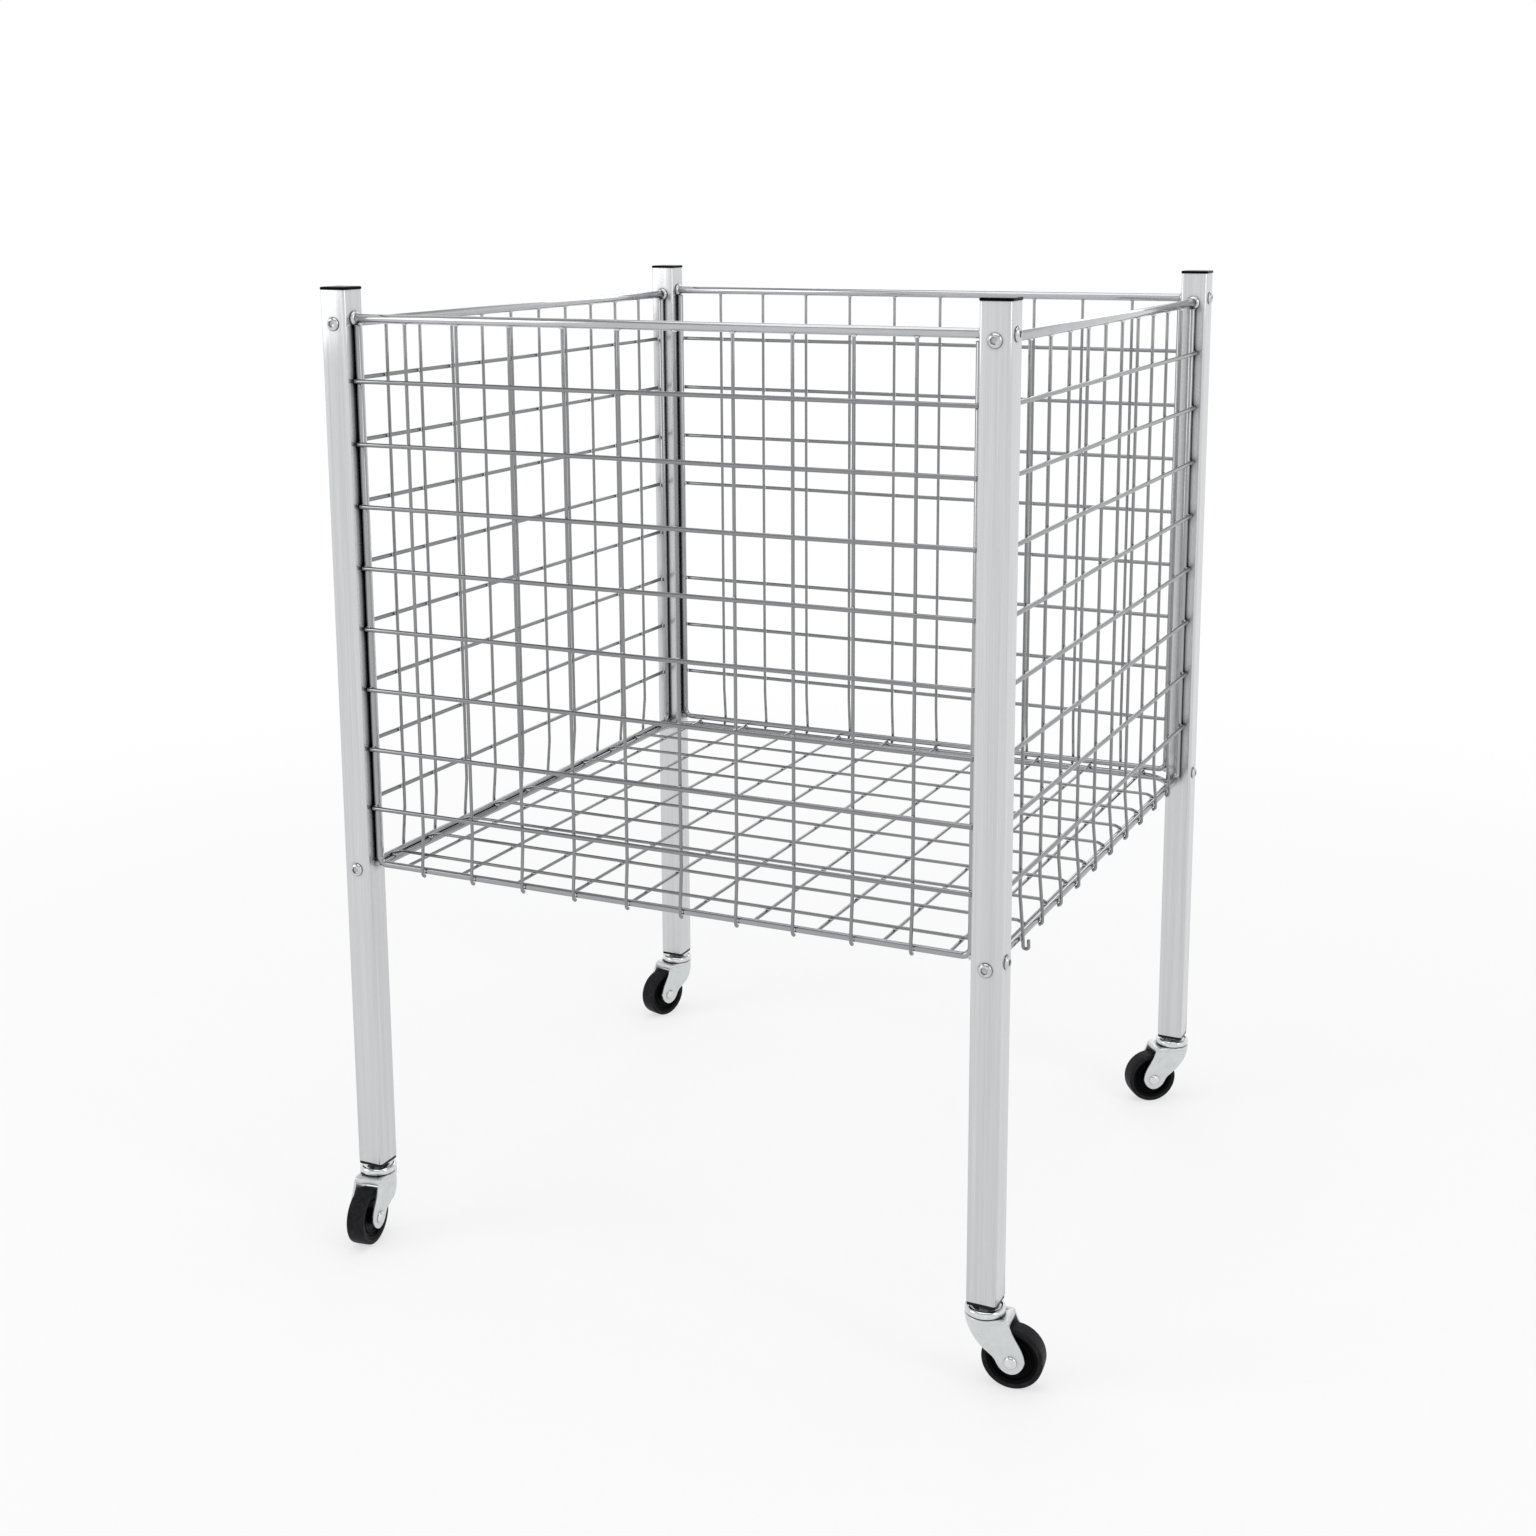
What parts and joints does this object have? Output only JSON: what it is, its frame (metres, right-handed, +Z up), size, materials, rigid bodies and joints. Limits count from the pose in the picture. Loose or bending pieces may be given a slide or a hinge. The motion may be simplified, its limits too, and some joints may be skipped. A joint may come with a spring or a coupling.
{
  "type": "retail dump bin",
  "caption": "Wheeled wire mesh dump bin: open top square basket of welded chrome wire hung between tall square tube corner posts on swivel casters.",
  "frame": {"origin": "on the floor, at the centre of the four corner posts", "axes": "+Z up, -Y the front (customer) side, +X to the right"},
  "size_m": [0.6796, 0.6729, 0.8875],
  "materials": {
    "post_aluminium": "satin, brushed lengthwise",
    "cap_plastic": "gloss black",
    "plug_plastic": "black moulded",
    "bright_zinc": "bright plated",
    "fastener_steel": "bright plated",
    "fork_zinc": "bright zinc plated pressing",
    "wheel_plastic": "black moulded",
    "tyre_rubber": "grey black rubber"
  },
  "bodies": {
    "bin": {"caster_back_left_bearing_cup": "bright_zinc", "caster_back_left_stem": "fastener_steel", "caster_back_right_bearing_cup": "bright_zinc", "caster_back_right_stem": "fastener_steel", "caster_bearing_balls": "fastener_steel", "caster_front_left_bearing_cup": "bright_zinc", "caster_front_left_stem": "fastener_steel", "caster_front_right_bearing_cup": "bright_zinc", "caster_front_right_stem": "fastener_steel", "floor_frame": "bright_zinc", "floor_wires_front_to_back": "bright_zinc", "floor_wires_side_to_side": "bright_zinc", "frame_corner_bosses": "fastener_steel", "horizontal_wires_back": "bright_zinc", "horizontal_wires_front": "bright_zinc", "horizontal_wires_left": "bright_zinc", "horizontal_wires_right": "bright_zinc", "panel_frame_back": "bright_zinc", "panel_frame_front": "bright_zinc", "panel_frame_left": "bright_zinc", "panel_frame_right": "bright_zinc", "post_back_left": "post_aluminium", "post_back_right": "post_aluminium", "post_cap_back_left": "cap_plastic", "post_cap_back_right": "cap_plastic", "post_cap_front_left": "cap_plastic", "post_cap_front_right": "cap_plastic", "post_foot_plugs": "plug_plastic", "post_front_left": "post_aluminium", "post_front_right": "post_aluminium", "post_screws": "fastener_steel", "rail_end_collars": "fastener_steel", "top_rail_back": "bright_zinc", "top_rail_front": "bright_zinc", "top_rail_left": "bright_zinc", "top_rail_right": "bright_zinc", "vertical_wires_back": "bright_zinc", "vertical_wires_front": "bright_zinc", "vertical_wires_left": "bright_zinc", "vertical_wires_right": "bright_zinc"},
    "fork_front_left": {"caster_front_left_fork": "fork_zinc", "caster_front_left_axle_bolt": "fastener_steel", "caster_front_left_axle_nut": "fastener_steel"},
    "wheel_front_left": {"caster_front_left_wheel": "wheel_plastic", "caster_front_left_tyre": "tyre_rubber"},
    "fork_front_right": {"caster_front_right_fork": "fork_zinc", "caster_front_right_axle_bolt": "fastener_steel", "caster_front_right_axle_nut": "fastener_steel"},
    "wheel_front_right": {"caster_front_right_wheel": "wheel_plastic", "caster_front_right_tyre": "tyre_rubber"},
    "fork_back_left": {"caster_back_left_fork": "fork_zinc", "caster_back_left_axle_bolt": "fastener_steel", "caster_back_left_axle_nut": "fastener_steel"},
    "wheel_back_left": {"caster_back_left_wheel": "wheel_plastic", "caster_back_left_tyre": "tyre_rubber"},
    "fork_back_right": {"caster_back_right_fork": "fork_zinc", "caster_back_right_axle_bolt": "fastener_steel", "caster_back_right_axle_nut": "fastener_steel"},
    "wheel_back_right": {"caster_back_right_wheel": "wheel_plastic", "caster_back_right_tyre": "tyre_rubber"}
  },
  "joints": [
    {"name": "swivel_front_left", "type": "hinge", "parent": "bin", "child": "fork_front_left", "pos_m": [-0.3025, -0.3025, 0.06], "axis": [0, 0, 1], "continuous": true},
    {"name": "roll_front_left", "type": "hinge", "parent": "fork_front_left", "child": "wheel_front_left", "pos_m": [-0.29909, -0.32676, 0.026], "axis": [0.9903, 0.1392, 0], "continuous": true},
    {"name": "swivel_front_right", "type": "hinge", "parent": "bin", "child": "fork_front_right", "pos_m": [0.3025, -0.3025, 0.06], "axis": [0, 0, 1], "continuous": true},
    {"name": "roll_front_right", "type": "hinge", "parent": "fork_front_right", "child": "wheel_front_right", "pos_m": [0.32687, -0.29994, 0.026], "axis": [-0.1045, 0.9945, 0], "continuous": true},
    {"name": "swivel_back_left", "type": "hinge", "parent": "bin", "child": "fork_back_left", "pos_m": [-0.3025, 0.3025, 0.06], "axis": [0, 0, 1], "continuous": true},
    {"name": "roll_back_left", "type": "hinge", "parent": "fork_back_left", "child": "wheel_back_left", "pos_m": [-0.31007, 0.2792, 0.026], "axis": [0.9511, -0.309, 0], "continuous": true},
    {"name": "swivel_back_right", "type": "hinge", "parent": "bin", "child": "fork_back_right", "pos_m": [0.3025, 0.3025, 0.06], "axis": [0, 0, 1], "continuous": true},
    {"name": "roll_back_right", "type": "hinge", "parent": "fork_back_right", "child": "wheel_back_right", "pos_m": [0.28319, 0.28742, 0.026], "axis": [0.6157, -0.788, 0], "continuous": true}
  ]
}
